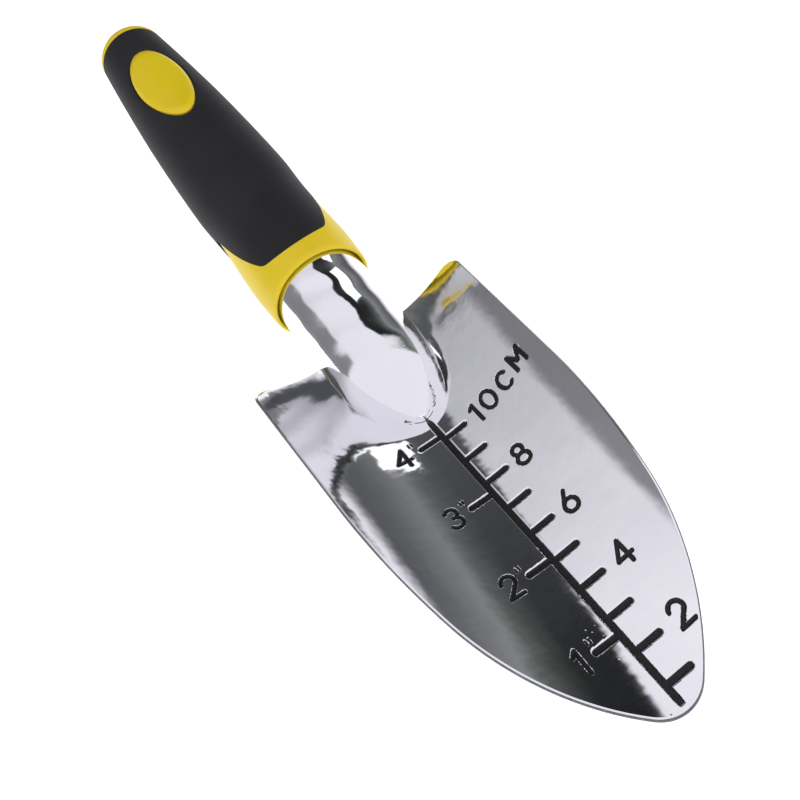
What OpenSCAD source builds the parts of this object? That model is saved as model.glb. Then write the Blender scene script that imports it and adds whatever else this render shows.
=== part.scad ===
// Hand trowel: cast aluminium blade, neck and tang, two-colour soft grip handle.
// Millimetres. +Y runs from the blade tip to the butt, +Z is up with the scoop facing up,
// and +X is the side with the centimetre marks. The origin is under the middle of the box.

/* [Blade] */
// Radius of the blunt tip
tip_r = 11.2; // [9:0.2:12]
// Radius of the two curved flanks behind the tip
flank_r = 83.5; // [80:0.5:88]
// Radius of the flat curve that leads into the straight sides
side_r = 240; // [220:5:260]
// Distance from the tip to the point where each side ends at its rear corner
side_end = 137.6; // [134:0.2:142]
// Radius of the two rear corners
corner_r = 6; // [4:0.5:7]
// Inner radius of the trough across the blade
trough_r = 50.5; // [48:0.5:58]
// Thickness of the blade
sheet_t = 2; // [1.6:0.1:2.4]

/* [Ruler] */
// Distance from the ruler's zero to the blade tip
zero_gap = 2.7; // [1:0.1:4]
// Width of the centre groove
groove_w = 2.2; // [1.6:0.1:3.2]
// Depth of the engraved groove and marks
groove_d = 0.5; // [0.3:0.1:0.8]
// Length of one mark beyond the groove's edge
mark_l = 7.4; // [6:0.2:8]
// Width of one mark
mark_w = 2.1; // [1.4:0.1:2.4]

/* [Neck and tang] */
// Radius of the round neck
neck_r = 16.5; // [15.5:0.5:17]
// Length of the rounded nose that swells out of the scoop
nose_l = 29.4; // [26:0.2:32]
// Distance from the start of the round neck to the front of the collar
neck_l = 31.2; // [28:0.2:34]
// Depth of the neck inside the collar
neck_in = 10; // [8:1:12]
// Radius of the tang
tang_r = 5.5; // [5:0.5:6.5]
// Length of the tang beyond the neck
tang_l = 34; // [30:1:60]

/* [Handle] */
// Distance from the blade tip to the front of the collar, along Y
collar_y = 163.2; // [162:0.2:166]
// Height of the handle's axis above the scoop's floor at the front of the collar
collar_z = 12.8; // [12:0.2:14]
// Rise of the handle above the plane of the blade, in degrees
rise = 16; // [14:1:18]
// Depth below the handle's axis, as a part of the radius, of the flatter underside
under_flat = 0.8; // [0.78:0.01:0.82]
// Thickness of the soft sleeve
sleeve_t = 2.4; // [1.8:0.2:2.8]
// Distance from the front of the collar to the front of the sleeve's tongue
tongue_a = 11.5; // [10:0.5:13]
// Distance from the front of the collar to the back of the yellow flank
flank_a = 40; // [36:1:42]
// Length of the oval inlay
oval_l = 39; // [34:1:41]
// Width of the oval inlay
oval_w = 18.6; // [16:0.2:19]

/* [Hidden] */

metal = [0.80, 0.80, 0.82];
yellow = [0.86, 0.76, 0.08];
black = [0.16, 0.16, 0.17];
round_fn = 96;
reach = 200;                               // longer than any cut needs to be
lap = 0.2;                                 // overlap that makes two solids one

// Half outline of the blade: arcs that follow on from one another, [radius, end heading].
// A heading is measured from +Y towards +X, so it starts at 90 across the tip.
tip_turn = 47;
flank_turn = 12;
side_turn = 1.5;
rear_turn = -78;
function arc_end(p, r, h0, h1) = p + r * [cos(h1) - cos(h0), sin(h0) - sin(h1)];
function arc(p, r, h0, h1, n) =
    [for (i = [0:n]) arc_end(p, r, h0, h0 + (h1 - h0) * i / n)];
tip_arc = arc([0, 0], tip_r, 90, tip_turn, 10);
flank_arc = arc(tip_arc[10], flank_r, tip_turn, flank_turn, 12);
side_arc = arc(flank_arc[12], side_r, flank_turn, side_turn, 8);
side_run = side_end - side_arc[8][1];
side_back = side_arc[8] + side_run * [tan(side_turn), 1];
corner_arc = arc(side_back, corner_r, side_turn, rear_turn, 6);
rear_y = corner_arc[6][1] + corner_arc[6][0] * tan(rear_turn + 90);
half_outline = concat(tip_arc, [for (i = [1:12]) flank_arc[i]], [for (i = [1:8]) side_arc[i]],
                      corner_arc, [[0, rear_y]]);
left_half = [for (i = [len(half_outline) - 2:-1:1]) [-half_outline[i][0], half_outline[i][1]]];
outline = concat(half_outline, left_half);

belly_r = trough_r + sheet_t;
nose_tip_y = 104.6;                        // where the nose meets the scoop's floor
groove_y = [1.6, nose_tip_y + 2];
cm_marks = [1:10];
inch_marks = [1:4];
inch = 25.4;

// Handle, measured along its own axis from the front of the collar
cap_a = 132.5;                             // front of the end cap
dome_a = 127.8;                            // centre of the butt's round end
dome_r = 14.2;
dome_cut = 134;                            // where the side meets the round end
core_back = cap_a - 1;
bore_a = neck_in + tang_l + 2;
hollow_a = bore_a + 2;                     // the core is a hollow moulding behind the tang
hollow_r = [11, 9];                        // its radius in front of the step and behind it
hollow_step = 92;
spigot_r = 8;
spigot_l = 12;
spigot_bore = 5;
under_rise = 10;                           // centre of the underside's arc over the handle's axis
gap = 0.05;                                // running gap of the end cap and the oval
oval_a = 98.8;                             // middle of the oval
pocket_d = 1.2;                            // depth of the oval's seat in the core
oval_proud = 0.4;
oval_egg = 0.12;                           // how much fuller the oval is towards the butt
mouth_tilt = 10;                           // lean of the collar's front face, top set back
mouth_run = 4;
foot = [15, 9, 4];                         // flat pad under the collar, which keeps the tool from rolling
foot_y = 11;                               // its front, from the middle of the box
mouth_gap = 0.5;                           // between the neck and the collar's mouth

overall_l = collar_y + dome_a * cos(rise) + dome_r;

// Outer radius of the sleeve and of the butt: stations [distance, radius] joined by soft curves
sleeve_side = [[0, 18.3], [14, 18.9], [36, 18.1], [52, 18.6], [86, 17.2], [113, 15], [134, 12.8]];
collar_side = [[0, 18.2], [14, 18.7], [40, 17.3], [52, 17]];
function bend(t) = (1 - cos(180 * t)) / 2;
function span(side, a, i = 0) = i >= len(side) - 2 || a < side[i + 1][0] ? i : span(side, a, i + 1);
// Slope at a station is the mean of its two neighbours, so the side has no corners
function slope(side, i) =
    let (lo = max(i - 1, 0), hi = min(i + 1, len(side) - 1))
    (side[hi][1] - side[lo][1]) / (side[hi][0] - side[lo][0]);
function radius(side, a) =
    let (i = span(side, a), w = side[i + 1][0] - side[i][0], t = (a - side[i][0]) / w)
    side[i][1] * (1 + 2 * t) * (1 - t) * (1 - t) + side[i + 1][1] * t * t * (3 - 2 * t)
    + slope(side, i) * w * t * (1 - t) * (1 - t) - slope(side, i + 1) * w * t * t * (1 - t);
function run(side, a0, a1, inset, n) =
    [for (i = [0:n]) let (a = a0 + (a1 - a0) * i / n) [radius(side, a) - inset, a]];

function sleeve_solid(a0, a1, inset) =
    concat([[0, a0]], run(sleeve_side, a0, a1, inset, 24), [[0, a1]]);

// Yellow flank, seen from the side: it narrows to a round end between the sleeve's tongues
flank_h = 14;                              // half height of the flank at the tongue's front
flank_nose = 3;                            // radius of the flank's round end
flank_end = [for (t = [-75:15:75]) [flank_a - flank_nose + flank_nose * cos(t), flank_nose * sin(t)]];
front_h = 25;                              // more than the handle's half height
tongue_lead = 4.8;                         // how far the tongue's edge leans forward by that height
front_shape = concat([[-front_h, -front_h], [tongue_a - tongue_lead, -front_h], [tongue_a, -flank_h]],
                     flank_end,
                     [[tongue_a, flank_h], [tongue_a - tongue_lead, front_h], [-front_h, front_h]]);

module on_handle() {
    translate([0, collar_y, collar_z]) rotate([rise, 0, 0]) children();
}
module turned(points) {
    rotate([-90, 0, 0]) rotate_extrude($fn = round_fn) polygon(points);
}
// Turned shape with a flatter underside: a second, wider round meets it from below
module gripped(points) {
    under = [for (p = points) p[0] == 0 ? p : [under_flat * p[0] + under_rise, p[1]]];
    intersection() {
        turned(points);
        translate([0, 0, under_rise]) turned(under);
    }
}
module rod(r, a0, a1) {
    translate([0, a0, 0]) rotate([-90, 0, 0]) cylinder(r = r, h = a1 - a0, $fn = round_fn);
}
module placed() {
    translate([0, -overall_l / 2, sheet_t]) children();
}

module trough_solid(r) {
    translate([0, -reach / 2, trough_r]) rod(r, 0, 2 * reach);
}

module sheet() {
    intersection() {
        translate([0, 0, -sheet_t]) linear_extrude(trough_r) polygon(outline);
        difference() {
            trough_solid(belly_r);
            trough_solid(trough_r);
        }
    }
}

module neck() {
    nose = [for (t = [0:7.5:90]) [t == 90 ? 0 : neck_r * cos(t), -neck_l - nose_l * sin(t)]];
    intersection() {
        on_handle() gripped(concat([[0, neck_in], [neck_r, neck_in]], nose));
        trough_solid(belly_r);
    }
}

module tang() {
    barb_pitch = 12;
    barb_gap = 1.5;
    on_handle() difference() {
        rod(tang_r, neck_in - lap, neck_in + tang_l);
        for (a = [neck_in + barb_pitch:barb_pitch:neck_in + tang_l - barb_pitch / 2])
            difference() {
                rod(tang_r + 1, a, a + barb_gap);
                rod(tang_r - 0.8, a - lap, a + barb_gap + lap);
            }
    }
}

module mark(x0, x1, y) {
    translate([x0, y - mark_w / 2, -sheet_t]) cube([x1 - x0, mark_w, trough_r]);
}

module engraving() {
    half_w = groove_w / 2;
    intersection() {
        trough_solid(trough_r + groove_d);
        union() {
            translate([-half_w, groove_y[0], -sheet_t])
                cube([groove_w, groove_y[1] - groove_y[0], trough_r / 4]);
            for (n = cm_marks) mark(0, half_w + mark_l, 10 * n - zero_gap);
            for (n = inch_marks) mark(-half_w - mark_l, 0, inch * n - zero_gap);
        }
    }
}

module blade() {
    color(metal) placed() union() {
        difference() {
            sheet();
            engraving();
        }
        neck();
        tang();
    }
}

module front_zone() {
    rotate([90, 0, 90]) translate([0, 0, -reach / 2]) linear_extrude(reach) polygon(front_shape);
}

module oval_prism(grow = 0) {
    long_r = oval_l / 2 + grow;
    wide_r = oval_w / 2 + grow;
    egg = [for (t = [0:7.5:352.5])
        [wide_r * sin(t) * (1 + oval_egg * cos(t)), oval_a + long_r * cos(t)]];
    linear_extrude(reach) polygon(egg);
}

module handle_core() {
    collar_end = flank_a + 4;
    mouth_r = neck_r + mouth_gap;
    hollow_end = core_back - spigot_l;
    color(yellow) placed() on_handle() difference() {
        union() {
            intersection() {
                gripped(concat([[0, -mouth_run]], run(collar_side, -mouth_run, collar_end, 0, 14),
                               [[0, collar_end]]));
                front_zone();
            }
            gripped(sleeve_solid(mouth_run, core_back, sleeve_t));
            rotate([-rise, 0, 0]) translate([0, -collar_y, -collar_z])
                translate([-foot[0] / 2, foot_y + overall_l / 2, -sheet_t]) cube(foot);
        }
        rotate([-mouth_tilt, 0, 0]) translate([-reach / 2, -reach, -reach / 2]) cube(reach);
        gripped([[0, -mouth_run - 1], [mouth_r, -mouth_run - 1], [mouth_r, neck_in], [0, neck_in]]);
        rod(tang_r, neck_in - lap, bore_a);
        rod(hollow_r[0], hollow_a, hollow_step);
        rod(hollow_r[1], hollow_a, hollow_end);
        rod(spigot_r, core_back - spigot_l - 1, core_back + 1);
        difference() {
            oval_prism();
            turned(sleeve_solid(mouth_run, core_back, sleeve_t + pocket_d));
        }
    }
}

module grip_sleeve() {
    color(black) placed() on_handle() difference() {
        gripped(sleeve_solid(mouth_run, cap_a, 0));
        gripped(sleeve_solid(0, core_back, sleeve_t));
        rod(spigot_r, core_back - 1, cap_a + 1);
        front_zone();
        oval_prism(gap);
    }
}

module oval_inlay() {
    a0 = oval_a - oval_l;
    a1 = oval_a + oval_l / 2 + 1;
    color(yellow) placed() on_handle() intersection() {
        oval_prism();
        difference() {
            turned(sleeve_solid(a0, a1, -oval_proud));
            turned(sleeve_solid(a0 - 1, a1 + 1, sleeve_t + pocket_d));
        }
    }
}

module end_cap() {
    half_dome = acos((dome_cut - dome_a) / dome_r);
    dome = [for (i = [0:16]) let (t = half_dome * (1 - i / 16))
        [i == 16 ? 0 : dome_r * sin(t), dome_a + dome_r * cos(t)]];
    color(yellow) placed() on_handle() difference() {
        union() {
            gripped(concat([[0, cap_a]], run(sleeve_side, cap_a, dome_cut - 1, 0, 5), dome));
            rod(spigot_r - gap, core_back - spigot_l, cap_a + lap);
        }
        rod(spigot_bore, core_back - spigot_l - 1, dome_cut);
    }
}

blade();
handle_core();
grip_sleeve();
oval_inlay();
end_cap();
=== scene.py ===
"""Looks of the hand trowel: polished blade with an engraved ruler, and a two-colour soft grip handle."""
import math

import bpy
import numpy as np
from mathutils import Matrix, Vector


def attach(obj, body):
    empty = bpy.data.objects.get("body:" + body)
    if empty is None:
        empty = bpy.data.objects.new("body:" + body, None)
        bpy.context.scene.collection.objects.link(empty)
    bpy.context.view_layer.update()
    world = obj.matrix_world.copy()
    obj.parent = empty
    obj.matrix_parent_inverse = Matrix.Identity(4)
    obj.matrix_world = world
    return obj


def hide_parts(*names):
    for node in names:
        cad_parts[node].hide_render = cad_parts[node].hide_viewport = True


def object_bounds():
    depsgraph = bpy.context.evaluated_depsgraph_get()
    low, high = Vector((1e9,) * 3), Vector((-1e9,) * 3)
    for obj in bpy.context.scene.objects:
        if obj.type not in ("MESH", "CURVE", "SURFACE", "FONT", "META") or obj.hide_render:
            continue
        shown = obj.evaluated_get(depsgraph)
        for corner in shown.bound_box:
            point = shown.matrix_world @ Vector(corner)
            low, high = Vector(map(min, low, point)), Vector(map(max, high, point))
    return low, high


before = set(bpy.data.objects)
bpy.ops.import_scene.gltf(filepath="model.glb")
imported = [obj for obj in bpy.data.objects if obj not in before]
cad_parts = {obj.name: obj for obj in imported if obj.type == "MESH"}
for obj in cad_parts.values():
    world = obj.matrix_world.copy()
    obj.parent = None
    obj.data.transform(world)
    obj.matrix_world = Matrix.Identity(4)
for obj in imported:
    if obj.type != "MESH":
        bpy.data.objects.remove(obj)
cad_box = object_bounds()

MM = 0.001

# Driving dimensions in millimetres, as in the CAD. Blade: Y runs from the tip, Z from the scoop's floor.
TIP_R, FLANK_R, SIDE_R, CORNER_R = 11.2, 83.5, 240.0, 6.0
TIP_TURN, FLANK_TURN, SIDE_TURN, REAR_TURN = 47.0, 12.0, 1.5, -78.0
SIDE_END = 137.6
TROUGH_R, SHEET_T = 50.5, 2.0
ZERO_GAP = 2.7
GROOVE_W, GROOVE_D = 2.2, 0.5
MARK_L, MARK_W = 7.4, 2.1
INCH = 25.4
NECK_R, NOSE_L, NECK_L, NECK_IN = 16.5, 29.4, 31.2, 10.0
NECK_WAVE = 0.11
TANG_R, TANG_L = 5.5, 34.0
NOSE_TIP_Y = 104.6
CURL_DROP, CURL_Y, CURL_L = 0.5, 128.0, 12.0
COLLAR_Y, COLLAR_Z, RISE = 163.2, 12.8, math.radians(16)
UNDER_FLAT, UNDER_RISE = 0.80, 10.0
FOOT = (15.0, 9.0, 4.0)            # flat pad under the collar
FOOT_Y = 11.0
SLEEVE_T, TONGUE_A, FLANK_A = 2.4, 11.5, 40.0
FLANK_H, FLANK_NOSE = 14.0, 3.0
OVAL_A, OVAL_L, OVAL_W, OVAL_EGG, OVAL_PROUD = 98.8, 39.0, 18.6, 0.12, 0.4
CAP_A, DOME_A, DOME_R, DOME_CUT = 132.5, 127.8, 14.2, 134.0
MOUTH_TILT = math.radians(10)
TONGUE_LEAD, FRONT_H = 4.8, 25.0

SLEEVE_SIDE = [(0, 18.3), (14, 18.9), (36, 18.1), (52, 18.6), (86, 17.2), (113, 15), (134, 12.8)]
COLLAR_SIDE = [(0, 18.2), (14, 18.7), (40, 17.3), (52, 17)]

LOW = cad_box[0]
HALF_W = 38.8                      # half width of the blade, for the inset of its faces from the rim
HALF_L, MIDDLE_Y = 76.0, 80.0      # half length and middle of the blade, for the same inset
RIM_R = SHEET_T / 2
FLOOR_Z = SHEET_T                  # height of the scoop's floor over the row's origin
SKIN = 0.02                        # how far the faces stay over the CAD's underside
LOWEST = SKIN - SHEET_T
TIP_Y = LOW.y / MM

# Ruler. A cut has a dark floor, and a wall that slopes down to it.
CM_MARKS, INCH_MARKS = range(1, 11), range(1, 5)
GROOVE_START = 1.6
RULED_END = 112.0                  # the engraving lies in front of this
CUT_WALL = 0.34                    # width of the sloping wall of a cut
CUT_FLOOR = 0.14                   # distance from a cut's edge to its dark floor
TEXT_D, TEXT_WALL = 0.25, 0.3
DIGIT, LETTER = 4.6, 4.2           # widths of a digit and of a letter
INCH_SIZE = 2.8                    # size of the two strokes that stand for inches
STROKE = 0.62                      # half width of a digit's stroke
GLYPH_MIDDLE = 0.7                 # middle of a digit's height, as a part of its width
FAR = 9.0                          # distance given to a point with no cut near it

# Studio that the metal mirrors, measured in directions: X, Y and Z of a unit vector
WHITE = (0.88, 0.87, 0.93)
FLAG_GREY, WALL_GREY, REAR_GREY = (0.06, 0.06, 0.07), (0.14, 0.145, 0.15), (0.03, 0.034, 0.036)
DARK_SLANT, DARK_START, DARK_WIDTH = 0.95, 0.50, 0.85
DARK_SIDE = [(0.0, WHITE), (0.05, WHITE), (0.10, (0.012, 0.013, 0.014)), (0.44, (0.016, 0.018, 0.018)),
             (0.58, (0.048, 0.053, 0.05)), (0.68, (0.10, 0.112, 0.105)), (0.78, (0.25, 0.26, 0.255)),
             (0.88, (0.18, 0.185, 0.19)), (1.0, (0.07, 0.072, 0.08))]
WOBBLE = 0.08                      # how much the near edge of the dark side wavers
# Where each part of the studio sets in along an axis, and how strong it is
OVERHEAD_Z, DARK_Y = (0.04, 0.20), (0.02, 0.12)
FLAG_X, FLAG_Y, FLAG_PART = (-0.66, -0.74), (0.18, 0.34), 0.75
WALL_Y, WALL_PART = (0.15, 0.75), 0.65
REAR_X, REAR_Y, REAR_PART = (-0.25, -0.40), (0.60, 0.66), 0.85
STRIP_AT, STRIP_AIM = Vector((54, 24, 84)) * MM, Vector((8, 0, 30)) * MM
STRIP_SIZE, STRIP_POWER = (0.020, 0.030), 0.0025
FLOOR_HALF, FLOOR_DROP, FLOOR_WHITE = 3.0, 0.0005, 0.85

# Camera: above the tip on the inch side, looking down the blade, rolled so that the tool lies diagonally
CAMERA_AT = Vector((-37.84, -181.42, 203.86)) * MM
LOOKS_ALONG = Vector((0.1401, 0.5904, -0.7949)).normalized()
CAMERA_ROLL = math.radians(41.55)
LENS = 36.72


# ---------------------------------------------------------------- helpers

def place_blade(points):
    """Blade coordinates to the row's frame, in metres."""
    return (points + np.array([0.0, TIP_Y, FLOOR_Z])) * MM


def handle_to_blade(points):
    """Handle coordinates (x, distance along the axis, height over the axis) to blade coordinates."""
    x, a, h = points[..., 0], points[..., 1], points[..., 2]
    c, s = math.cos(RISE), math.sin(RISE)
    return np.stack([x, COLLAR_Y + a * c - h * s, COLLAR_Z + a * s + h * c], -1)


def place_handle(points):
    """Handle coordinates to the row's frame, in metres."""
    return place_blade(handle_to_blade(points))


def around(radius, a, turn):
    """Handle coordinates of points at a radius from the axis, at an angle measured from the top."""
    return np.stack([radius * np.sin(turn), np.broadcast_to(a, radius.shape), radius * np.cos(turn)], -1)


def full_turn(steps):
    return np.linspace(0, 2 * math.pi, steps, endpoint=False)


def grid_faces(rows, cols, wrap=False, flip=False):
    """Quads of a rows by cols grid of points; wrap joins the last column to the first."""
    i = np.arange(rows - 1)[:, None] * cols
    j = np.arange(cols if wrap else cols - 1)[None, :]
    k = (j + 1) % cols
    quads = np.stack(np.broadcast_arrays(i + j, i + k, i + cols + k, i + cols + j), -1).reshape(-1, 4)
    return quads[:, ::-1] if flip else quads


def make_piece(name, shells, materials, replaced):
    """A mesh of several shells, each (points, quads, material index or one index per quad)."""
    points, quads, index, start = [], [], [], 0
    for shell_points, shell_quads, shell_index in shells:
        points.append(shell_points.reshape(-1, 3))
        quads.append(shell_quads + start)
        index.append(np.broadcast_to(shell_index, len(shell_quads)))
        start += len(points[-1])
    mesh = bpy.data.meshes.new(name)
    points, quads, index = np.concatenate(points), np.concatenate(quads), np.concatenate(index)
    mesh.vertices.add(len(points))
    mesh.vertices.foreach_set("co", points.astype(np.float32).ravel())
    mesh.loops.add(quads.size)
    mesh.loops.foreach_set("vertex_index", quads.astype(np.int32).ravel())
    mesh.polygons.add(len(quads))
    mesh.polygons.foreach_set("loop_start", np.arange(0, quads.size, 4, dtype=np.int32))
    mesh.polygons.foreach_set("material_index", index.astype(np.int32))
    mesh.polygons.foreach_set("use_smooth", np.ones(len(quads), bool))
    mesh.update(calc_edges=True)
    mesh.validate()
    for material in materials:
        mesh.materials.append(material)
    piece = bpy.data.objects.new(name, mesh)
    bpy.context.scene.collection.objects.link(piece)
    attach(piece, "root")
    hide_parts(*replaced)


def smooth(t):
    t = np.clip(t, 0.0, 1.0)
    return t * t * (3 - 2 * t)


def grip_radius(r, turn):
    """Radius at an angle from the top: round above, and on a wider round below."""
    blend = 1.5
    under_r = UNDER_FLAT * r + UNDER_RISE
    low = UNDER_RISE * np.cos(turn) + np.sqrt(under_r ** 2 - (UNDER_RISE * np.sin(turn)) ** 2)
    return np.maximum((r + low - np.sqrt((r - low) ** 2 + blend ** 2)) / 2, 0)


# ---------------------------------------------------------------- blade outline

def arc(start, r, h0, h1, n):
    """Points of an arc whose heading turns from h0 to h1 degrees, measured from +Y towards +X."""
    h = np.radians(np.linspace(h0, h1, n))
    first = math.radians(h0)
    x = start[0] + r * (np.cos(h) - math.cos(first))
    y = start[1] + r * (math.sin(first) - np.sin(h))
    return np.stack([x, y], -1)


def blade_outline():
    """Right half of the outline: tip to the middle of the rear corner, and from there to X = 0."""
    tip = arc((0, 0), TIP_R, 90, TIP_TURN, 40)
    flank = arc(tip[-1], FLANK_R, TIP_TURN, FLANK_TURN, 80)
    side = arc(flank[-1], SIDE_R, FLANK_TURN, SIDE_TURN, 60)
    run = SIDE_END - side[-1][1]
    back = side[-1] + run * np.array([math.tan(math.radians(SIDE_TURN)), 1.0])
    middle_turn = (SIDE_TURN + REAR_TURN) / 2
    corner_in = arc(back, CORNER_R, SIDE_TURN, middle_turn, 20)
    corner_out = arc(corner_in[-1], CORNER_R, middle_turn, REAR_TURN, 20)
    lean = math.tan(math.radians(REAR_TURN + 90))
    rear_y = corner_out[-1][1] + corner_out[-1][0] * lean
    x = np.linspace(corner_out[-1][0], 0, 80)
    rear = np.stack([x, rear_y - x * lean], -1)
    first = np.concatenate([tip, flank[1:], side[1:], back[None], corner_in[1:]])
    second = np.concatenate([corner_in[-1:], corner_out[1:], rear[1:]])
    return first, second


SIDE_LINE, REAR_LINE = blade_outline()


def lengths(line):
    """Distance along a line to each of its points."""
    return np.concatenate([[0], np.cumsum(np.hypot(*np.diff(line, axis=0).T))])


def along(line, t):
    """Points at fractions t of a line's length."""
    length = lengths(line)
    t = np.asarray(t) * length[-1]
    return np.stack([np.interp(t, length, line[:, 0]), np.interp(t, length, line[:, 1])], -1)


def trough(x, r=TROUGH_R):
    """Height of the scoop's surface over its floor."""
    return TROUGH_R - np.sqrt(r * r - np.minimum(np.abs(x), r - 1) ** 2)


def belly(x):
    """Height of the blade's underside over the scoop's floor."""
    return trough(x, TROUGH_R + SHEET_T)


def rear_curl(y):
    """How far the blade's rear edge has been pressed down."""
    return CURL_DROP * np.clip((y - CURL_Y) / CURL_L, 0, None) ** 2


def inset_plan(x, y):
    """Plan points drawn in from the outline, so that the rounded rim fits round them."""
    return x * (1 - RIM_R / HALF_W), MIDDLE_Y + (y - MIDDLE_Y) * (1 - RIM_R / HALF_L)


# ---------------------------------------------------------------- engraving

def near_segment(x, y, p, q):
    """Distance from (x, y) to the segment p to q."""
    dx, dy = q[0] - p[0], q[1] - p[1]
    t = np.clip(((x - p[0]) * dx + (y - p[1]) * dy) / (dx * dx + dy * dy), 0, 1)
    return np.hypot(x - p[0] - t * dx, y - p[1] - t * dy)


def near_arc(x, y, centre, rx, ry, start, end, n=14):
    """Distance to part of an ellipse, angles in degrees from +X."""
    t = np.radians(np.linspace(start, end, n))
    pts = [(centre[0] + rx * math.cos(a), centre[1] + ry * math.sin(a)) for a in t]
    return np.minimum.reduce([near_segment(x, y, p, q) for p, q in zip(pts, pts[1:])])


# Plain block glyphs in a box 1 wide and 1.4 high, as segments and arcs of ellipses; '"' stands for inches
GLYPHS = {
    "0": [("arc", (0.5, 0.7), 0.46, 0.68, 0, 360)],
    "1": [("seg", (0.5, 0.0), (0.5, 1.4)), ("seg", (0.5, 1.4), (0.2, 1.12))],
    "2": [("arc", (0.5, 0.98), 0.42, 0.42, 170, -20), ("seg", (0.9, 0.84), (0.06, 0.02)),
          ("seg", (0.06, 0.02), (0.94, 0.02))],
    "3": [("arc", (0.46, 1.05), 0.38, 0.34, 150, -90), ("arc", (0.46, 0.37), 0.42, 0.36, 90, -150)],
    "4": [("seg", (0.72, 0.0), (0.72, 1.4)), ("seg", (0.72, 1.4), (0.04, 0.42)),
          ("seg", (0.04, 0.42), (0.98, 0.42))],
    "6": [("arc", (0.5, 0.43), 0.43, 0.42, 0, 360), ("seg", (0.13, 0.62), (0.66, 1.4))],
    "8": [("arc", (0.5, 1.06), 0.35, 0.33, 0, 360), ("arc", (0.5, 0.38), 0.43, 0.37, 0, 360)],
    "C": [("arc", (0.52, 0.7), 0.46, 0.68, 45, 315)],
    "M": [("seg", (0.06, 0.0), (0.06, 1.4)), ("seg", (0.06, 1.4), (0.5, 0.5)),
          ("seg", (0.5, 0.5), (0.94, 1.4)), ("seg", (0.94, 1.4), (0.94, 0.0))],
    '"': [("seg", (0.2, 1.1), (0.2, 1.5)), ("seg", (0.55, 1.1), (0.55, 1.5))],
}
# Text, left edge, and the mark that it stands beside. The last mark's also give their rise and size.
CM_TEXT = [("2", 11.7, 2), ("4", 11.7, 4), ("6", 11.2, 6), ("8", 10.8, 8)]
CM_LAST = [("1", 10.2, 0.0, DIGIT), ("0", 15.0, 0.4, DIGIT),
           ("C", 21.8, 0.9, LETTER), ("M", 28.0, 2.0, LETTER)]
INCH_TEXT = [("1", -13.8, 1), ("2", -15.5, 2), ("3", -15.4, 3), ("4", -16.0, 4)]


def near_glyph(x, y, glyph, left, base, size):
    """Distance to a digit whose lower left corner is (left, base) and whose box is size wide."""
    u, v = (x - left) / size, (y - base) / size
    parts = []
    for part in GLYPHS[glyph]:
        if part[0] == "seg":
            parts.append(near_segment(u, v, part[1], part[2]))
        else:
            parts.append(near_arc(u, v, *part[1:]))
    return np.minimum.reduce(parts) * size


def groove_distance(x, y):
    """Signed distance to the ruler's groove and marks, negative inside them."""
    half_w, half_m = GROOVE_W / 2, MARK_W / 2
    mark_end = half_w + MARK_L - half_m
    cut = near_segment(x, y, (0, GROOVE_START + half_w), (0, NOSE_TIP_Y + 3)) - half_w
    marks = [(mark_end, 10 * n) for n in CM_MARKS] + [(-mark_end, INCH * n) for n in INCH_MARKS]
    for end_x, ruled in marks:
        mark_y = ruled - ZERO_GAP
        cut = np.minimum(cut, near_segment(x, y, (0, mark_y), (end_x, mark_y)) - half_m)
    return cut


def text_base(ruled):
    """Y of the lower edge of the text that stands beside a place on the ruler."""
    return ruled - ZERO_GAP - GLYPH_MIDDLE * DIGIT


def text_distance(x, y):
    """Signed distance to the strokes of the ruler's text, negative inside them."""
    cut = np.full_like(x, FAR)
    for glyph, left, n in CM_TEXT:
        cut = np.minimum(cut, near_glyph(x, y, glyph, left, text_base(10 * n), DIGIT))
    for glyph, left, rise, size in CM_LAST:
        cut = np.minimum(cut, near_glyph(x, y, glyph, left, text_base(100 + rise), size))
    for glyph, left, n in INCH_TEXT:
        base = text_base(INCH * n)
        inches = near_glyph(x, y, '"', left + DIGIT + 0.9, base + 2.6, INCH_SIZE)
        cut = np.minimum.reduce([cut, near_glyph(x, y, glyph, left, base, DIGIT), inches + STROKE / 2])
    return cut - STROKE


# ---------------------------------------------------------------- materials

def material(name):
    made = bpy.data.materials.new(name)
    made.use_nodes = True
    tree = made.node_tree
    return made, tree, tree.nodes["Principled BSDF"]


def add_noise(tree, coords, scale, detail=4.0):
    """Value of a noise texture, whose scale is in waves to the unit of its coordinates."""
    node = tree.nodes.new("ShaderNodeTexNoise")
    node.inputs["Scale"].default_value = scale
    node.inputs["Detail"].default_value = detail
    node.inputs["Roughness"].default_value = 0.55
    tree.links.new(coords, node.inputs["Vector"])
    return node.outputs["Fac"]


def add_ramp(tree, source, stops):
    """Colour for each value of a source, from (value, colour) stops; a single number is a grey."""
    ramp = tree.nodes.new("ShaderNodeValToRGB")
    while len(ramp.color_ramp.elements) < len(stops):
        ramp.color_ramp.elements.new(0.5)
    for element, (place, colour) in zip(ramp.color_ramp.elements, stops):
        element.position = place
        element.color = (*colour, 1) if isinstance(colour, tuple) else (colour, colour, colour, 1)
    tree.links.new(source, ramp.inputs["Fac"])
    return ramp.outputs["Color"]


def add_bump(tree, shader, height, strength, distance):
    bump = tree.nodes.new("ShaderNodeBump")
    bump.inputs["Strength"].default_value = strength
    bump.inputs["Distance"].default_value = distance
    tree.links.new(height, bump.inputs["Height"])
    tree.links.new(bump.outputs["Normal"], shader.inputs["Normal"])
    return bump


def paint(tree, shader, socket, source, stops):
    """Drives a socket of the shader by a ramp of a texture."""
    tree.links.new(add_ramp(tree, source, stops), shader.inputs[socket])


def object_coords(tree):
    return tree.nodes.new("ShaderNodeTexCoord").outputs["Object"]


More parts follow.
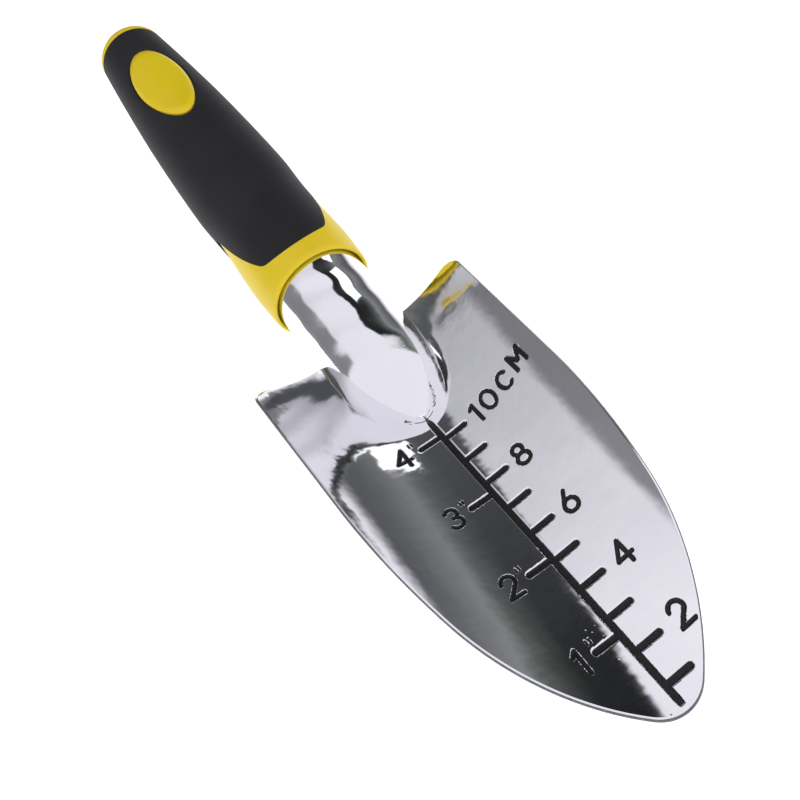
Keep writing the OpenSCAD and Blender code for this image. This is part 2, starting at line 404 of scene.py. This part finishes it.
def add_math(tree, kind, first, second):
    """Result of a sum on two values, each a number or another node's output."""
    node = tree.nodes.new("ShaderNodeMath")
    node.operation = kind
    for socket, value in zip(node.inputs, (first, second)):
        if isinstance(value, (int, float)):
            socket.default_value = value
        else:
            tree.links.new(value, socket)
    return node.outputs[0]


def polished_metal():
    """Mirror polish with soft waves, smudges and a few small pits."""
    made, tree, shader = material("polished_metal")
    coords = object_coords(tree)
    shader.inputs["Metallic"].default_value = 1.0
    tint = add_noise(tree, coords, 28)
    paint(tree, shader, "Base Color", tint, [(0.3, (0.86, 0.86, 0.89)), (0.7, (0.93, 0.93, 0.95))])
    smudge = add_noise(tree, coords, 60, detail=6)
    paint(tree, shader, "Roughness", smudge, [(0.35, 0.05), (0.6, 0.08), (0.8, 0.17)])
    waves = add_bump(tree, shader, add_noise(tree, coords, 70, detail=3), 0.32, 0.0004)
    cells = tree.nodes.new("ShaderNodeTexVoronoi")
    cells.inputs["Scale"].default_value = 260
    tree.links.new(coords, cells.inputs["Vector"])
    hole = add_ramp(tree, cells.outputs["Distance"], [(0.02, 0.0), (0.10, 1.0)])
    clear = add_ramp(tree, add_noise(tree, coords, 45, detail=2), [(0.56, 1.0), (0.66, 0.0)])
    pits = add_bump(tree, shader, add_math(tree, "MAXIMUM", hole, clear), 0.35, 0.00006)
    tree.links.new(waves.outputs["Normal"], pits.inputs["Normal"])
    return made


def cut_metal():
    """Dark, grainy floor of the engraving."""
    made, tree, shader = material("cut_metal")
    shader.inputs["Metallic"].default_value = 0.6
    shader.inputs["Roughness"].default_value = 0.42
    grain = add_noise(tree, object_coords(tree), 1500)
    paint(tree, shader, "Base Color", grain, [(0.3, (0.012, 0.012, 0.013)), (0.75, (0.035, 0.035, 0.037))])
    add_bump(tree, shader, grain, 0.4, 0.00004)
    return made


def rim_painted_shade():
    """Painted shade on the sheet's cut edge: a dark grey, rougher metal that stands in for the dark band
    along the rim.
    """
    made, tree, shader = material("rim_painted_shade")
    shader.inputs["Metallic"].default_value = 1.0
    shader.inputs["Roughness"].default_value = 0.38
    grain = add_noise(tree, object_coords(tree), 900)
    # Painted shade: the dark grey base colour stands in for the dark band that the rim shows, not a real
    # colour of the metal
    paint(tree, shader, "Base Color", grain, [(0.3, (0.10, 0.10, 0.11)), (0.7, (0.20, 0.20, 0.21))])
    add_bump(tree, shader, grain, 0.3, 0.00005)
    return made


def yellow_plastic():
    """Moulded plastic with a slight gloss."""
    made, tree, shader = material("yellow_plastic")
    coords = object_coords(tree)
    tint, grain = add_noise(tree, coords, 40), add_noise(tree, coords, 2500, detail=2)
    paint(tree, shader, "Base Color", tint, [(0.3, (0.84, 0.62, 0.004)), (0.7, (0.93, 0.71, 0.006))])
    paint(tree, shader, "Roughness", grain, [(0.3, 0.36), (0.7, 0.46)])
    add_bump(tree, shader, grain, 0.12, 0.00003)
    return made


def black_soft():
    """Matt soft-touch rubber with a very fine grain."""
    made, tree, shader = material("black_soft")
    coords = object_coords(tree)
    shader.inputs["Sheen Weight"].default_value = 0.03
    shader.inputs["Specular IOR Level"].default_value = 0.32
    tint, grain = add_noise(tree, coords, 35), add_noise(tree, coords, 4200, detail=3)
    paint(tree, shader, "Base Color", tint, [(0.3, (0.010, 0.010, 0.011)), (0.7, (0.016, 0.016, 0.018))])
    paint(tree, shader, "Roughness", grain, [(0.3, 0.58), (0.7, 0.72)])
    add_bump(tree, shader, grain, 0.35, 0.00005)
    return made


METAL, CUT, RIM_PAINTED_SHADE, YELLOW, BLACK = polished_metal(), cut_metal(), rim_painted_shade(), yellow_plastic(), black_soft()


# ---------------------------------------------------------------- blade

def planform(u, v):
    """Points of the blade's plan for u from -1 to 1 across and v from 0 at the tip to 1 at the rear edge."""
    side = along(SIDE_LINE, v)
    rear = along(REAR_LINE, 1 - np.abs(u))
    corner = SIDE_LINE[-1]
    across = np.sign(u) * (np.abs(rear[:, 0]) - np.abs(u) * corner[0])
    x = u[None, :] * side[:, 0][:, None] + v[:, None] * across[None, :]
    y = side[:, 1][:, None] + v[:, None] * (rear[:, 1] - corner[1])[None, :]
    return x, y


def side_fractions(stations):
    """Fractions of the side line's length at the given distances from the tip."""
    length = lengths(SIDE_LINE)
    return np.interp(stations, SIDE_LINE[:, 1], length) / length[-1]


def snapped(x, y, distance, level, cell):
    """Grid points near the line where a distance equals level, moved onto it, and the new distance."""
    step = 0.02
    d = distance(x, y)
    near = np.abs(d - level) < 0.55 * cell
    gx = (distance(x[near] + step, y[near]) - d[near]) / step
    gy = (distance(x[near], y[near] + step) - d[near]) / step
    size = np.maximum(gx * gx + gy * gy, 0.25)
    shift = (d[near] - level) / size
    x, y = x.copy(), y.copy()
    x[near] -= shift * gx
    y[near] -= shift * gy
    d[near] = level
    return x, y, d


def sheet_shells():
    """Top with the engraving, underside, and the rounded rim between them."""
    cell, coarse_cell, columns = 0.22, 0.6, 361
    stations = np.concatenate([[0.0, 0.02, 0.06, 0.12], np.arange(cell, RULED_END, cell),
                               np.arange(RULED_END, SIDE_LINE[-1][1], coarse_cell)])
    v = np.append(side_fractions(stations), 1.0)
    x, y = planform(np.linspace(-1, 1, columns), v)
    ruled = (y > 1.0) & (y < RULED_END)
    x, y = inset_plan(x, y)
    groove, text = np.full_like(x, FAR), np.full_like(x, FAR)
    x[ruled], y[ruled], groove[ruled] = snapped(x[ruled], y[ruled], groove_distance, -CUT_FLOOR, cell)
    x[ruled], y[ruled], text[ruled] = snapped(x[ruled], y[ruled], text_distance, 0.0, cell)
    depth = GROOVE_D * smooth(-groove / CUT_WALL) + TEXT_D * smooth(-text / TEXT_WALL)
    top = np.stack([x, y, trough(x) - np.minimum(depth, GROOVE_D) - rear_curl(y)], -1)
    quads = grid_faces(len(v), columns)
    groove_mid, text_mid = groove.ravel()[quads].mean(axis=1), text.ravel()[quads].mean(axis=1)
    dark = (groove_mid < -CUT_FLOOR) | (text_mid < 0)
    rows, columns = 90, 61
    x, y = inset_plan(*planform(np.linspace(-1, 1, columns), np.linspace(0, 1, rows)))
    below = np.stack([x, y, np.maximum(belly(x) - rear_curl(y), LOWEST)], -1)
    return [(place_blade(top), quads, dark.astype(int)),
            (place_blade(below), grid_faces(rows, columns, flip=True), 0), rim_shell()]


def rim_shell():
    """Half-round edge that runs right round the outline, polished only where it meets the two faces; between
    them it carries painted shade.
    """
    steps = 13
    right = np.concatenate([SIDE_LINE, REAR_LINE[1:]])
    loop = np.concatenate([right, (right * [-1, 1])[-2:0:-1]])
    inner = np.stack(inset_plan(loop[:, 0], loop[:, 1]), -1)
    above, below = trough(inner[:, 0]), belly(inner[:, 0])
    rows = []
    for t in np.radians(np.linspace(90, -90, steps)):
        plan = inner + (loop - inner) * math.cos(t)
        z = (above + below) / 2 + (above - below) / 2 * math.sin(t) - rear_curl(inner[:, 1])
        rows.append(np.stack([plan[:, 0], plan[:, 1], np.maximum(z, LOWEST)], -1))
    band = np.repeat(np.arange(steps - 1), len(loop))
    # The middle rows of the rim get the painted-shade material (index 2); the rows next to the two faces
    # stay polished
    metal = np.where((band > 1) & (band < steps - 2), 2, 0)
    return place_blade(np.stack(rows)), grid_faces(steps, len(loop), wrap=True, flip=True), metal


def hand_polish(a, turn):
    """Waves left in the neck by polishing it by hand, from -1 to 1: some run along it and some across."""
    long_waves = np.sin(0.52 * a + 2.2 * np.sin(2 * turn))
    cross_waves = 0.7 * np.sin(5 * turn + 0.31 * a) * np.cos(0.37 * a)
    return (long_waves + cross_waves) / 1.7


def neck_shell():
    """Round neck and its nose, with the underside trimmed to run out into the belly."""
    steps = 160
    turn = full_turn(steps)
    nose = -NECK_L - NOSE_L * np.sin(np.radians(np.linspace(90, 0, 60)))
    stations = np.concatenate([nose, np.linspace(-NECK_L + 1, NECK_IN, 50)])[:, None]
    inside = np.clip((-NECK_L - stations) / NOSE_L, 0, 1)
    radius = NECK_R * np.sqrt(np.maximum(1 - inside ** 2, 0))
    wave = NECK_WAVE * (1 + hand_polish(stations, turn)) * smooth(radius / NECK_R)
    points = handle_to_blade(around(grip_radius(radius, turn) - wave, stations, turn))
    points[..., 2] = np.maximum(points[..., 2], belly(points[..., 0]) + SKIN)
    return place_blade(points), grid_faces(len(stations), steps, wrap=True, flip=True), 0


def turned_shell(profile, steps, flat=True):
    """Surface turned round the handle's axis from (radius, distance) points, flatter below when asked."""
    profile = np.asarray(profile, float)
    turn = full_turn(steps)
    radius = profile[:, :1] * np.ones_like(turn)
    if flat:
        radius = grip_radius(radius, turn)
    points = around(radius, profile[:, 1:], turn)
    return place_handle(points), grid_faces(len(profile), steps, wrap=True, flip=True), 0


def tang_shell():
    """Round tang with shallow ring grooves."""
    pitch, width, sink = 12.0, 1.5, 0.8
    profile = [(0.0, NECK_IN), (TANG_R, NECK_IN)]
    for n in range(1, int(TANG_L / pitch)):
        a = NECK_IN + n * pitch
        profile += [(TANG_R, a), (TANG_R - sink, a), (TANG_R - sink, a + width), (TANG_R, a + width)]
    profile += [(TANG_R, NECK_IN + TANG_L), (0.0, NECK_IN + TANG_L)]
    return turned_shell(profile, 48, flat=False)


make_piece("blade_casting", sheet_shells() + [neck_shell(), tang_shell()],
           [METAL, CUT, RIM_PAINTED_SHADE], ["blade"])


# ---------------------------------------------------------------- handle

def side_radius(side, a):
    """Radius of a handle side at distance a: a soft curve through the stations."""
    p, r = np.array([s[0] for s in side], float), np.array([s[1] for s in side], float)
    lo, hi = np.maximum(np.arange(len(p)) - 1, 0), np.minimum(np.arange(len(p)) + 1, len(p) - 1)
    slope = (r[hi] - r[lo]) / (p[hi] - p[lo])
    i = np.clip(np.searchsorted(p, a, side="right") - 1, 0, len(p) - 2)
    w = p[i + 1] - p[i]
    t = (a - p[i]) / w
    return (r[i] * (1 + 2 * t) * (1 - t) ** 2 + r[i + 1] * t * t * (3 - 2 * t)
            + slope[i] * w * t * (1 - t) ** 2 - slope[i + 1] * w * t * t * (1 - t))


def sleeve_front(turn):
    """Distance along the axis at which the sleeve starts, for an angle measured from the top."""
    collar_r, corner = 18.4, 1.4
    nose_a = FLANK_A - FLANK_NOSE
    line_end = nose_a + 0.8
    h = np.abs(np.cos(turn)) * grip_radius(collar_r, turn)
    line = TONGUE_A + (FLANK_H - h) * (line_end - TONGUE_A) / (FLANK_H - FLANK_NOSE)
    tongue = TONGUE_A - TONGUE_LEAD * np.maximum(h - FLANK_H, 0) / (FRONT_H - FLANK_H)
    line = (line + tongue + np.sqrt((line - tongue) ** 2 + corner ** 2)) / 2
    end = nose_a + np.sqrt(np.maximum(FLANK_NOSE ** 2 - h ** 2, 0))
    return np.where(h < FLANK_NOSE, end, np.minimum(line, line_end))


def oval_distance(x, a):
    """About how far a point is from the oval's edge, negative inside it."""
    t = np.arctan2(x / (OVAL_W / 2), (a - OVAL_A) / (OVAL_L / 2))
    wide = OVAL_W / 2 * (1 + OVAL_EGG * np.cos(t))
    scale = np.sqrt((x / wide) ** 2 + ((a - OVAL_A) / (OVAL_L / 2)) ** 2)
    return (scale - 1) * np.where(scale > 0, np.hypot(x, a - OVAL_A) / np.maximum(scale, 1e-6), 1.0)


def sleeve_shell():
    """Soft sleeve: its front edge follows the tongues and flanks, and it dips round the oval."""
    steps, rings = 400, 330
    front_edge, back_edge, tuck = 0.7, 0.5, 2.0      # radii of its edges, and how far the front reaches in
    dip_d, dip_w, dip_start = 1.1, 0.9, 0.7          # depth and width of the dip, and its start
    turn = full_turn(steps)
    front = sleeve_front(turn)
    rows = [(front, side_radius(SLEEVE_SIDE, front) - tuck)]
    for t in np.radians(np.linspace(0, 90, 8)):
        a = front + front_edge * (1 - math.cos(t))
        rows.append((a, side_radius(SLEEVE_SIDE, a) - front_edge * (1 - math.sin(t))))
    for t in np.linspace(0, 1, rings)[1:]:
        a = front + front_edge + t * (CAP_A - back_edge - front - front_edge)
        rows.append((a, side_radius(SLEEVE_SIDE, a)))
    for t in np.radians([30, 60, 90]):
        a = np.full_like(front, CAP_A - back_edge + back_edge * math.sin(t))
        rows.append((a, side_radius(SLEEVE_SIDE, a) - back_edge * (1 - math.cos(t))))
    a, r = (np.stack(column) for column in zip(*rows))
    r = grip_radius(r, turn)
    dip = smooth((dip_start - oval_distance(r * np.sin(turn), a)) / dip_w)
    points = around(r - dip_d * np.where(np.cos(turn) > 0, dip, 0), a, turn)
    return place_handle(points), grid_faces(len(rows), steps, wrap=True, flip=True), 0


def foot_shell():
    """Flat pad with rounded corners that is part of the collar's underside."""
    corner, steps = 2.0, 48
    middle = FOOT_Y + FOOT[1] / 2
    t = full_turn(steps)
    x = np.sign(np.cos(t)) * (FOOT[0] / 2 - corner) + corner * np.cos(t)
    y = np.sign(np.sin(t)) * (FOOT[1] / 2 - corner) + corner * np.sin(t)
    # Each row's part of the full size, and its height
    rows = [(0.0, SKIN), (0.93, SKIN), (0.98, 0.12), (1.0, 0.35), (1.0, 1.6)]
    points = np.stack([np.stack([x * k, middle + y * k, np.full_like(x, z)], -1) for k, z in rows])
    return points * MM, grid_faces(len(rows), steps, wrap=True, flip=True), 0


def core_shells():
    """Yellow core: the neck's seat, a leaning rolled mouth, the collar and flanks, and the pad."""
    steps, lip, roll_in = 240, 1.9, 0.35
    mouth_r, collar_r = NECK_R + 0.4, 18.2
    turn = full_turn(steps)
    same = np.ones_like(turn)
    lean = math.tan(MOUTH_TILT) * grip_radius(collar_r, turn) * np.cos(turn)
    rows = [(NECK_IN * same, TANG_R * same), (NECK_IN * same, mouth_r * same), (lean + 1.5, mouth_r * same)]
    outer_r = side_radius(COLLAR_SIDE, lean + lip)
    for t in np.radians(np.linspace(-60, 90, 16)):
        a = lean + (lip if t > 0 else roll_in * lip) * (1 - math.cos(t))
        rows.append((a, mouth_r + (outer_r - mouth_r) * (1 + math.sin(t)) / 2))
    for t in np.linspace(0, 1, 60)[1:]:
        a = lean + lip + t * (FLANK_A + 3 - lean - lip)
        rows.append((a, side_radius(COLLAR_SIDE, a)))
    for a in np.linspace(FLANK_A + 3.1, CAP_A - 1, 40):
        rows.append((a * same, (side_radius(SLEEVE_SIDE, a) - SLEEVE_T - 0.6) * same))
    a, r = (np.stack(column) for column in zip(*rows))
    points = around(grip_radius(r, turn), a, turn)
    return [(place_handle(points), grid_faces(len(rows), steps, wrap=True, flip=True), 0), foot_shell()]


def oval_shell():
    """Domed oval that fills the sleeve's window."""
    rings, steps = 26, 120
    clear, edge_start, edge_drop, skirt = 0.2 / 9, 0.86, 0.55, 1.4
    t = full_turn(steps)
    rows = []
    for k in np.linspace(0, 1, rings):
        grow = k * (1 - clear)
        x = OVAL_W / 2 * np.sin(t) * (1 + OVAL_EGG * np.cos(t)) * grow
        a = OVAL_A + OVAL_L / 2 * np.cos(t) * grow
        rise = OVAL_PROUD - edge_drop * smooth((k - edge_start) / (1 - edge_start)) ** 1.5
        rows.append((x, a, side_radius(SLEEVE_SIDE, a) + rise))
    rows.append((x, a, rows[-1][2] - skirt))
    x, a, r = (np.stack(column) for column in zip(*rows))
    points = np.stack([x, a, np.sqrt(np.maximum(r * r - x * x, 0))], -1)
    return place_handle(points), grid_faces(len(rows), steps, wrap=True), 0


def cap_shell():
    """Butt end: a rounded front edge, the last of the handle's side, and the round end."""
    start, edge = CAP_A + 0.1, 0.5
    half = math.acos((DOME_CUT - DOME_A) / DOME_R)
    profile = [(float(side_radius(SLEEVE_SIDE, CAP_A)) - 0.7, start)]
    for t in np.radians([0, 30, 60, 90]):
        a = start + edge * (1 - math.cos(t))
        profile.append((float(side_radius(SLEEVE_SIDE, a)) - edge * (1 - math.sin(t)), a))
    profile += [(float(side_radius(SLEEVE_SIDE, a)), a) for a in np.linspace(CAP_A + 1, DOME_CUT - 0.4, 10)]
    profile += [(DOME_R * math.sin(t), DOME_A + DOME_R * math.cos(t)) for t in np.linspace(half, 0, 24)]
    return turned_shell([(0.0, start)] + profile, 128)


make_piece("sleeve", [sleeve_shell()], [BLACK], ["grip_sleeve"])
make_piece("core", core_shells(), [YELLOW], ["handle_core"])
make_piece("oval", [oval_shell()], [YELLOW], ["oval_inlay"])
make_piece("butt_cap", [cap_shell()], [YELLOW], ["end_cap"])


# ---------------------------------------------------------------- stage, light and camera

def add_floor():
    """Large pale floor under the tool."""
    made, _, shader = material("floor_white")
    for socket in ("Base Color", "Emission Color"):
        shader.inputs[socket].default_value = (FLOOR_WHITE, FLOOR_WHITE, FLOOR_WHITE, 1)
    shader.inputs["Emission Strength"].default_value = FLOOR_WHITE
    shader.inputs["Roughness"].default_value = 0.9
    corners = [(x * FLOOR_HALF, y * FLOOR_HALF, 0) for x, y in ((-1, -1), (1, -1), (1, 1), (-1, 1))]
    mesh = bpy.data.meshes.new("floor")
    mesh.from_pydata(corners, [], [(0, 1, 2, 3)])
    mesh.materials.append(made)
    floor = bpy.data.objects.new("floor", mesh)
    bpy.context.scene.collection.objects.link(floor)
    floor.matrix_world = Matrix.Translation((0, 0, LOW.z - FLOOR_DROP))


def add_range(tree, value, low, high):
    """0 at low and 1 at high, with a soft change between them."""
    node = tree.nodes.new("ShaderNodeMapRange")
    node.interpolation_type = "SMOOTHSTEP"
    tree.links.new(value, node.inputs["Value"])
    node.inputs["From Min"].default_value, node.inputs["From Max"].default_value = low, high
    return node.outputs["Result"]


def add_mix(tree, factor, first, second):
    """Mix of two colours, each a colour or another node's output."""
    node = tree.nodes.new("ShaderNodeMix")
    node.data_type = "RGBA"
    tree.links.new(factor, node.inputs["Factor"])
    for socket, value in ((node.inputs["A"], first), (node.inputs["B"], second)):
        if isinstance(value, tuple):
            socket.default_value = (*value, 1)
        else:
            tree.links.new(value, socket)
    return node.outputs["Result"]


def studio_world():
    """White studio with one dark side overhead, which the polished blade mirrors."""
    world = bpy.data.worlds.new("studio")
    bpy.context.scene.world = world
    world.use_nodes = True
    tree = world.node_tree
    coords = tree.nodes.new("ShaderNodeTexCoord").outputs["Generated"]
    split = tree.nodes.new("ShaderNodeSeparateXYZ")
    tree.links.new(coords, split.inputs["Vector"])
    x, y, z = split.outputs
    overhead = add_range(tree, z, *OVERHEAD_Z)

    # The dark side: its near edge slants, and wavers a little
    wobble = add_math(tree, "MULTIPLY", add_noise(tree, coords, 7.0, detail=3.0), WOBBLE)
    across = add_math(tree, "ADD", x, add_math(tree, "MULTIPLY", y, DARK_SLANT))
    across = add_math(tree, "ADD", across, wobble)
    span = add_math(tree, "MULTIPLY", add_math(tree, "SUBTRACT", across, DARK_START), 1 / DARK_WIDTH)
    side_part = add_math(tree, "MULTIPLY", overhead, add_range(tree, y, *DARK_Y))
    sky = add_mix(tree, side_part, WHITE, add_ramp(tree, span, DARK_SIDE))

    # A narrow dark flag on the other side, low down
    flag = add_math(tree, "MULTIPLY", add_range(tree, x, *FLAG_X), add_range(tree, y, *FLAG_Y))
    sky = add_mix(tree, add_math(tree, "MULTIPLY", flag, FLAG_PART), sky, FLAG_GREY)

    # The far wall is greyer, with a dark patch behind the flag
    wall = add_math(tree, "MULTIPLY", add_range(tree, y, *WALL_Y), overhead)
    sky = add_mix(tree, add_math(tree, "MULTIPLY", wall, WALL_PART), sky, WALL_GREY)
    rear = add_math(tree, "MULTIPLY", add_range(tree, y, *REAR_Y), add_range(tree, x, *REAR_X))
    rear_part = add_math(tree, "MULTIPLY", rear, add_math(tree, "MULTIPLY", overhead, REAR_PART))
    sky = add_mix(tree, rear_part, sky, REAR_GREY)

    back = tree.nodes["Background"]
    tree.links.new(sky, back.inputs["Color"])
    back.inputs["Strength"].default_value = 1.0


def add_neck_light():
    """Small soft light that draws the bright band along the neck."""
    light = bpy.data.lights.new("neck_strip", "AREA")
    light.shape = "RECTANGLE"
    light.size, light.size_y = STRIP_SIZE
    light.energy = STRIP_POWER
    lamp = bpy.data.objects.new("neck_strip", light)
    bpy.context.scene.collection.objects.link(lamp)
    lamp.location = STRIP_AT
    lamp.rotation_mode = "QUATERNION"
    lamp.rotation_quaternion = (STRIP_AIM - STRIP_AT).to_track_quat("-Z", "Y")
    lamp.visible_camera = False


def make_camera():
    data = bpy.data.cameras.new("camera")
    data.sensor_width = 36
    data.lens = LENS
    data.clip_start, data.clip_end = 0.01, 20
    camera = bpy.data.objects.new("camera", data)
    bpy.context.scene.collection.objects.link(camera)
    ahead = (Vector((0, 1, 0)) - LOOKS_ALONG * LOOKS_ALONG.y).normalized()
    up = Matrix.Rotation(CAMERA_ROLL, 3, LOOKS_ALONG) @ ahead
    right = LOOKS_ALONG.cross(up)
    turn = Matrix((right, up, -LOOKS_ALONG)).transposed()
    camera.matrix_world = Matrix.Translation(CAMERA_AT) @ turn.to_4x4()
    bpy.context.scene.camera = camera


add_floor()
studio_world()
add_neck_light()
bpy.context.scene.view_settings.view_transform = "Standard"
make_camera()
